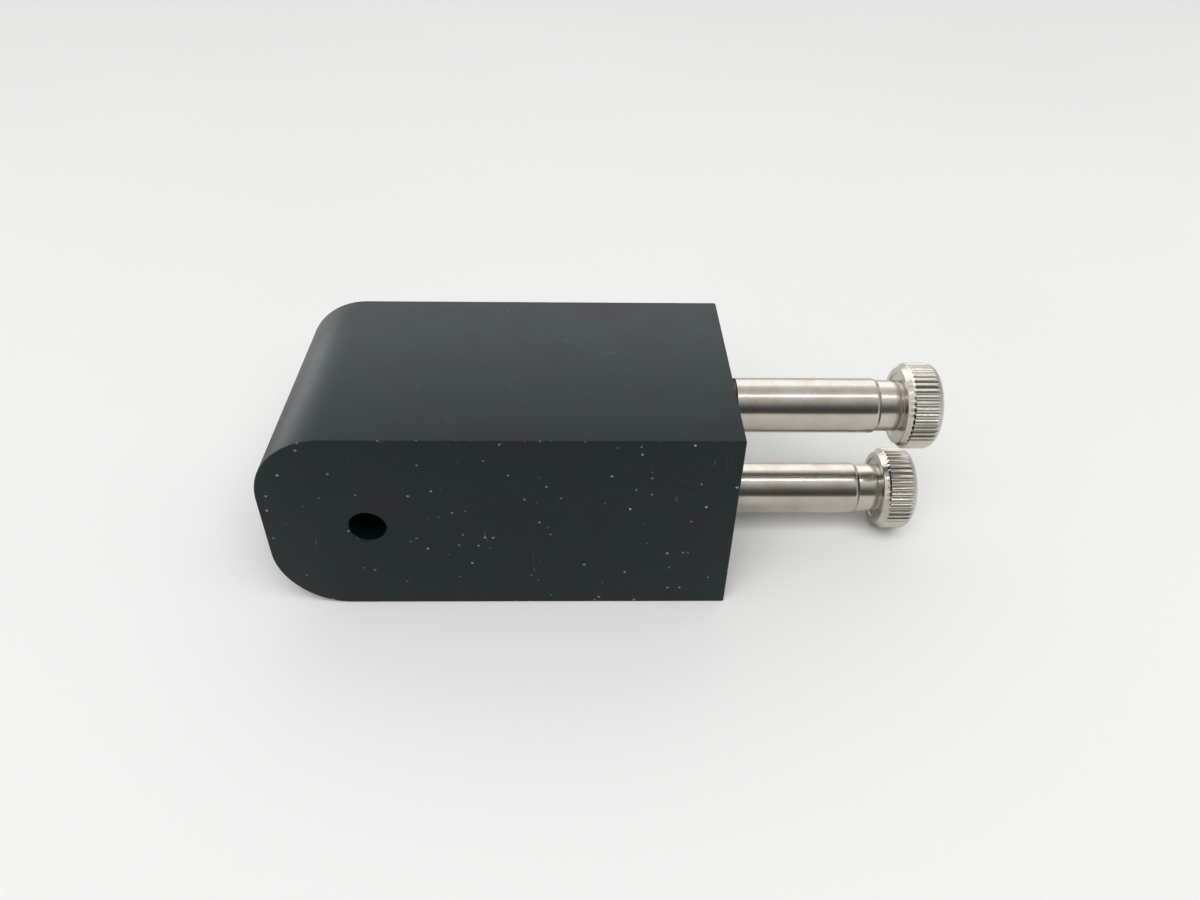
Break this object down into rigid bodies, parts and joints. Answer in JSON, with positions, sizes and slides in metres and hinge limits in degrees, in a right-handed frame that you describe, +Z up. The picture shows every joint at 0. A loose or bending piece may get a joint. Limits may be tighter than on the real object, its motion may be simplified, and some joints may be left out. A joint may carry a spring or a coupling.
{
  "type": "rod end clamp block",
  "caption": "Black clamp block with a rounded nose, a cross bore for a pivot pin, a blind rod socket and knurled thumbscrews on long spacer sleeves that lock the rod.",
  "frame": {"origin": "middle of the pivot bore, on its axis", "axes": "+X from the pivot bore towards the thumbscrews, +Y to the back face, +Z up to the closed top; the rod socket opens downwards"},
  "size_m": [0.0946, 0.035, 0.03],
  "materials": {
    "black_anodised": "bead blasted, black anodised",
    "turned_steel": "turned stainless steel",
    "knob_steel": "turned and straight knurled stainless steel",
    "stud_steel": "rolled thread, stainless steel",
    "insert_steel": "turned stainless steel",
    "pad_brass": "turned brass"
  },
  "bodies": {
    "block": {"body_block": "black_anodised", "upper_insert": "insert_steel", "lower_insert": "insert_steel"},
    "upper_tip": {"upper_pad": "pad_brass"},
    "upper_screw": {"upper_stud": "stud_steel", "upper_sleeve": "turned_steel", "upper_knob": "knob_steel"},
    "lower_tip": {"lower_pad": "pad_brass"},
    "lower_screw": {"lower_stud": "stud_steel", "lower_sleeve": "turned_steel", "lower_knob": "knob_steel"}
  },
  "joints": [
    {"name": "upper_feed", "type": "slide", "parent": "block", "child": "upper_tip", "axis": [1, 0, 0], "range_m": [-0.001, 0.0048]},
    {"name": "upper_turn", "type": "hinge", "parent": "upper_tip", "child": "upper_screw", "pos_m": [0.05, 0, 0.008], "axis": [1, 0, 0], "range_deg": [-450, 2160]},
    {"name": "lower_feed", "type": "slide", "parent": "block", "child": "lower_tip", "axis": [1, 0, 0], "range_m": [-0.001, 0.0048]},
    {"name": "lower_turn", "type": "hinge", "parent": "lower_tip", "child": "lower_screw", "pos_m": [0.05, 0, -0.008], "axis": [1, 0, 0], "range_deg": [-450, 2160]}
  ],
  "couplings": [
    {"joint": "upper_feed", "follows": "upper_turn", "m_per_rad": 0.00012732},
    {"joint": "lower_feed", "follows": "lower_turn", "m_per_rad": 0.00012732}
  ]
}
